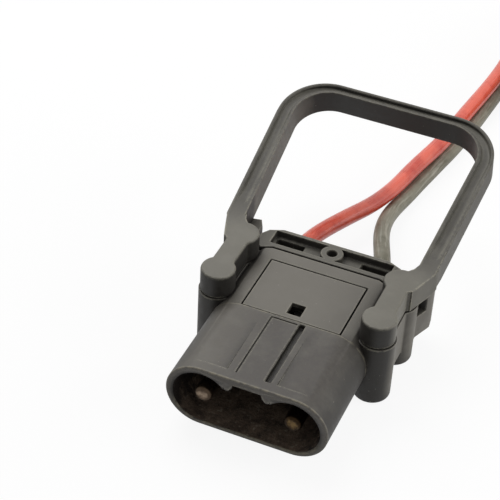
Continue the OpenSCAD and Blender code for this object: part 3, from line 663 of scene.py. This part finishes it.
# %% Metals
def metal(name, colour, dull, rough, stain_mm, ring=None):
    """Colour and its dull stains, this many millimetres wide. A pin also has a ring of
    grime with a ragged edge, from about 2 mm off its axis outwards."""
    material, tree, place = start(name)
    stain = add(tree, "TexNoise", Vector=place, Scale=1000 / stain_mm, Detail=5.0, Roughness=0.6)
    stained = add(tree, "MapRange", i0=stain, i1=0.4, i2=0.65)
    body = add(tree, "Mix", COLOURS, i0=stained, i6=colour, i7=dull)
    if ring:
        x, _, z = add(tree, "SeparateXYZ", Vector=place).node.outputs
        side = add(tree, "Math", LESS, i0=add(tree, "Math", SIZE, i0=x), i1=PIN_X * MM)
        rise = add(tree, "Math", LESS, i0=z, i1=FLOOR_Z * MM)
        spot = add(tree, "CombineXYZ", X=side, Y=rise)
        out = add(tree, "VectorMath", {"operation": "LENGTH"}, out="Value", i0=spot)
        ragged = add(tree, "Math", PLUS_TIMES, i0=stain, i1=4 * MM, i2=out)
        grime = add(tree, "MapRange", i0=ragged, i1=4.2 * MM, i2=5.4 * MM, i4=0.92)
        body = add(tree, "Mix", COLOURS, i0=grime, i6=body, i7=ring)
    gloss = add(tree, "MapRange", i0=stain, i1=0.3, i2=0.7, i3=rough, i4=rough + 0.2)
    grain = add(tree, "TexNoise", Vector=place, Scale=1000 / 0.5, Detail=2.0)
    relief = add(tree, "Bump", Height=grain, Distance=0.02 * MM, Strength=0.4)
    shader = add(tree, "BsdfPrincipled", Base_Color=body, Roughness=gloss, Normal=relief,
                 Metallic=1.0)
    add(tree, "OutputMaterial", Surface=shader)
    return material


PALE_COPPER = metal("rubbed_turned_copper", "#7f7061", "#4c3f33", 0.36, 4.0, ring="#3f342a")
COPPER = metal("aged_turned_copper", "#5e4c31", "#33271a", 0.4, 3.0, ring="#211810")
STEEL = metal("zinc_plated_steel", "#9a9c9e", "#6f6c66", 0.35, 2.5)
TIN = metal("tinned_copper", "#c9c8c3", "#a3a19a", 0.3, 4.0)
SHRINK = polyamide("heat_shrink_sleeve", "#2e2d2b", "#242322", "#45433f",
                   rub_and_highlight="#4a4843", rub_and_highlight_share=0.3, dusty=0.15)
print("metals made")

# %% [markdown]
# Rounded edges
# A moulding has no knife edge: every corner carries a radius of about half a
# millimetre, and that thin bright line along each edge is what tells the eye that a
# thing is real. Each moulded CAD piece is copied, its triangles are merged back into
# faces, and a bevel rounds the corners. One width for all edges would fold the faces at
# narrow grooves, so each smooth run of edges gets a weight from the room on the faces
# beside it. The rim of the mouth is round already. The CAD piece stays as it is.

# %% Sharp edges and their room
# An edge is sharp where its faces turn by more than this angle. A corner may use this
# share of the room beside it. Ahead of RIM_Y the edges are the rim's, and stay. Points
# nearer than MERGE are one point, and faces that turn less than FLAT are one face.
SHARP = math.radians(32)
SHARE = 0.4
RIM_Y = -0.1145
MERGE = 2e-6
FLAT = math.radians(0.6)


def is_sharp(edge):
    """Whether the edge joins two faces that turn by more than the sharp angle."""
    return len(edge.link_faces) == 2 and edge.calc_face_angle() > SHARP


def heading(edge):
    """The edge's direction, one unit long."""
    return (edge.verts[1].co - edge.verts[0].co).normalized()


def gap_across(point, line, edge):
    """From a point to an edge, if that way runs across the line, and otherwise far."""
    a, b = (v.co for v in edge.verts)
    d = b - a
    t = min(1.0, max(0.0, (point - a).dot(d) / max(d.length_squared, 1e-18)))
    way = a + d * t - point
    return way.length if abs(way.dot(line)) < 0.6 * way.length else 1.0


def room(edge, sharp):
    """Least distance across the two faces of an edge, from three points of it. Where the
    sharp line turns a corner at one end or both, the edge's length counts as room too."""
    line = heading(edge)
    points = [edge.verts[0].co.lerp(edge.verts[1].co, part) for part in (0.1, 0.5, 0.9)]
    far = [e for face in edge.link_faces for e in face.edges if not set(e.verts) & set(edge.verts)]
    least = min([gap_across(p, line, e) for e in far for p in points], default=1.0)
    corners = 0
    for v in edge.verts:
        beside = [e for e in v.link_edges if e in sharp]
        corners += any(abs(heading(e).dot(line)) < 0.8 for e in beside)
    return min(least, edge.calc_length() * (3 - corners)) if corners else least


def runs(sharp):
    """Groups the sharp edges into smooth runs: neighbours that turn less than 30 degrees."""
    left, found = set(sharp), []
    while left:
        run, todo = [], [left.pop()]
        while todo:
            edge = todo.pop()
            run.append(edge)
            line = heading(edge)
            for v in edge.verts:
                near = [e for e in v.link_edges if e in left and abs(heading(e).dot(line)) > 0.86]
                left.difference_update(near)
                todo.extend(near)
        found.append(run)
    return found


# %% Softened copies
def quieten(piece, width_mm):
    """Where a rounded corner leaves the CAD surface by half the width, its edges get a
    quarter of their weight, up to five times. Gives how many points were out each time."""
    mesh = piece.data
    points = [v.co for v in mesh.vertices]
    surface = BVHTree.FromPolygons(points, [f.vertices for f in mesh.polygons])
    corners = KDTree(len(mesh.vertices))
    for v in mesh.vertices:
        corners.insert(v.co, v.index)
    corners.balance()
    ends = np.empty(2 * len(mesh.edges), np.int32)
    mesh.edges.foreach_get("vertices", ends)
    weights = mesh.attributes["bevel_weight_edge"].data
    value = np.empty(len(mesh.edges), np.float32)
    counts = []
    for _ in range(5):
        bpy.context.view_layer.update()
        shown = piece.evaluated_get(bpy.context.evaluated_depsgraph_get()).to_mesh()
        out = [v.co for v in shown.vertices if surface.find_nearest(v.co)[3] > 0.5 * width_mm * MM]
        counts.append(len(out))
        if not out:
            break
        near = np.array([i for co in out for _, i, _ in corners.find_n(co, 2)])
        weights.foreach_get("value", value)
        value[np.isin(ends.reshape(-1, 2), near).any(1)] *= 0.25
        weights.foreach_set("value", value)
        mesh.update()
    return counts


def softened(node, material, width_mm):
    """A merged copy of a CAD piece with rounded edges, in place of the CAD piece."""
    mesh = NODES[node].data.copy()
    mesh.name = "soft_" + node
    work = bmesh.new()
    work.from_mesh(mesh)
    bmesh.ops.remove_doubles(work, verts=work.verts, dist=MERGE)
    bmesh.ops.dissolve_limit(
        work, angle_limit=FLAT, verts=work.verts, edges=work.edges, use_dissolve_boundaries=False
    )
    weight = work.edges.layers.float.new("bevel_weight_edge")
    sharp = {e for e in work.edges if is_sharp(e) and e.verts[0].co.y > RIM_Y}
    for run in runs(sharp):
        least = min(room(edge, sharp) for edge in run)
        for edge in run:
            edge[weight] = min(1.0, SHARE * least / (width_mm * MM))
    many_sided = [f for f in work.faces if len(f.verts) > 4]
    bmesh.ops.triangulate(work, faces=many_sided, ngon_method="BEAUTY")
    work.to_mesh(mesh)
    work.free()
    mesh.shade_smooth()
    piece = bpy.data.objects.new("soft_" + node, mesh)
    bpy.context.scene.collection.objects.link(piece)
    piece.data.materials.clear()
    piece.data.materials.append(material)
    rounding = piece.modifiers.new("rounding", "BEVEL")
    rounding.width = width_mm * MM
    rounding.segments = 2
    rounding.limit_method = "WEIGHT"
    rounding.use_clamp_overlap = False
    rounding.loop_slide = False
    print(node, "points out of place:", quieten(piece, width_mm))
    even = piece.modifiers.new("even_normals", "WEIGHTED_NORMAL")
    even.keep_sharp = True
    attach(piece, "root")
    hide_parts(node)
    return piece


SOFT = {
    node: softened(node, material, width)
    for node, material, width in (
        ("housing", HOUSING, 0.7),
        ("handle", HANDLE, 1.3),
        ("clamp_upper", CLAMP, 0.7),
        ("clamp_lower", CLAMP, 0.7),
        ("lock_plate", PLATE, 0.3),
    )
}
for name, piece in SOFT.items():
    print(name, "faces:", len(piece.data.polygons))

# %% [markdown]
# Which faces line the mouth
# The lining is a second material on the housing. Its faces are those whose centre lies
# in the mouth: behind the rim, and less than 17.3 mm from the line between the pins. At
# the top only what faces down is in the mouth. The rest is the groove on the barrel.

# %% Mouth faces
MOUTH_REACH = 0.0173
MOUTH_FRONT, MOUTH_FLOOR = -0.1178, -0.0698
GROOVE_Z = 0.0405


def line_mouth(piece):
    """Gives the faces in the mouth the lining, and tells how many there are. Their reach
    is the distance from the stretch between the two pins, seen from the front."""
    mesh = piece.data
    mesh.materials.append(MOUTH)
    centre, normal = (np.empty(len(mesh.polygons) * 3) for _ in range(2))
    mesh.polygons.foreach_get("center", centre)
    mesh.polygons.foreach_get("normal", normal)
    x, y, z = centre.reshape(-1, 3).T
    reach = np.hypot(np.maximum(np.abs(x) - PIN_X * MM, 0), z - FLOOR_Z * MM)
    within = (reach < MOUTH_REACH) & (y > MOUTH_FRONT) & (y < MOUTH_FLOOR)
    within &= (z < GROOVE_Z) | (normal[2::3] < -0.1)
    mesh.polygons.foreach_set("material_index", within.astype(np.int32))
    return int(within.sum())


print("faces in the mouth:", line_mouth(SOFT["housing"]))

# %% Materials of the CAD pieces
FINISH = {
    "coding_pin": CODING,
    "positive_contact": PALE_COPPER,
    "negative_contact": COPPER,
    "positive_conductor": COPPER,
    "negative_conductor": COPPER,
    "clamp_screw": STEEL,
    "handle_screws": STEEL,
    "positive_sleeve": SHRINK,
    "negative_sleeve": SHRINK,
    "positive_lug": TIN,
    "negative_lug": TIN,
    "coil_ties": SHRINK,
}
for node, material in FINISH.items():
    NODES[node].data.materials.clear()
    NODES[node].data.materials.append(material)
for piece, material in ((red_lead, RED), (black_lead, BLACK)):
    piece.data.materials.append(material)
print("finished nodes:", len(FINISH))

# %% [markdown]
# Floor, light and background
# A product picture is taken on white paper between two broad soft lamps. One stands high
# behind and to the left, the other lower on the right, so the tops are bright, the sides
# that face the camera stay dark, and the edges catch light. The floor and the world show
# as white to the camera and in reflections, but light the plug only as plain paper does.
# An eighth of the floor's white comes from the lamps, so it keeps a soft shadow.

# %% Floor
def seen(tree):
    """1 where a surface is looked at, straight or in a reflection, and 0 where it lights."""
    ray = add(tree, "LightPath").node.outputs
    most = add(tree, "Math", MOST, i0=ray["Is Camera Ray"], i1=ray["Is Glossy Ray"])
    return add(tree, "Math", MOST, i0=most, i1=ray["Is Transmission Ray"])


def make_floor():
    """A square 12 m wide, just under the plug's feet."""
    far, low = 6.0, -0.0002
    corners = [[-far, -far, low], [far, -far, low], [far, far, low], [-far, far, low]]
    mesh = bpy.data.meshes.new("floor")
    mesh.from_pydata(corners, [], [[0, 1, 2, 3]])
    floor = bpy.data.objects.new("floor", mesh)
    bpy.context.scene.collection.objects.link(floor)
    material, tree, _ = start("white_paper")
    paper = add(tree, "BsdfDiffuse", Color="#c8c8c8")
    shade = add(tree, "BsdfDiffuse", Color=(0.13, 0.13, 0.13, 1.0))
    glow = add(tree, "Emission", Color="#ffffff", Strength=0.9)
    white = add(tree, "AddShader", i0=shade, i1=glow)
    add(tree, "OutputMaterial", Surface=add(tree, "MixShader", i0=seen(tree), i1=paper, i2=white))
    floor.data.materials.append(material)


make_floor()
print("floor made")


# %% Lamps and world
def make_lamp(name, place, size, watts):
    """A round soft lamp at this place, turned to the plug."""
    data = bpy.data.lights.new(name, "AREA")
    data.shape = "DISK"
    data.size = size
    data.energy = watts
    lamp = bpy.data.objects.new(name, data)
    lamp.location = place
    lamp.rotation_euler = (-Vector(place)).to_track_quat("-Z", "Y").to_euler()
    bpy.context.scene.collection.objects.link(lamp)


make_lamp("left_lamp", (-0.7, 0.6, 1.3), size=1.3, watts=12.8)
make_lamp("right_lamp", (1.4, 0.3, 0.7), size=1.0, watts=8.5)
PAPER_LIGHT = 0.23
world = bpy.data.worlds.new("studio")
world.use_nodes = True
bpy.context.scene.world = world
tree = world.node_tree
tree.nodes.clear()
strength = add(tree, "MapRange", i0=seen(tree), i3=PAPER_LIGHT)
surround = add(tree, "Background", Color="#ffffff", Strength=strength)
add(tree, "OutputWorld", Surface=surround)
bpy.context.scene.view_settings.view_transform = "Standard"
print("stage made")
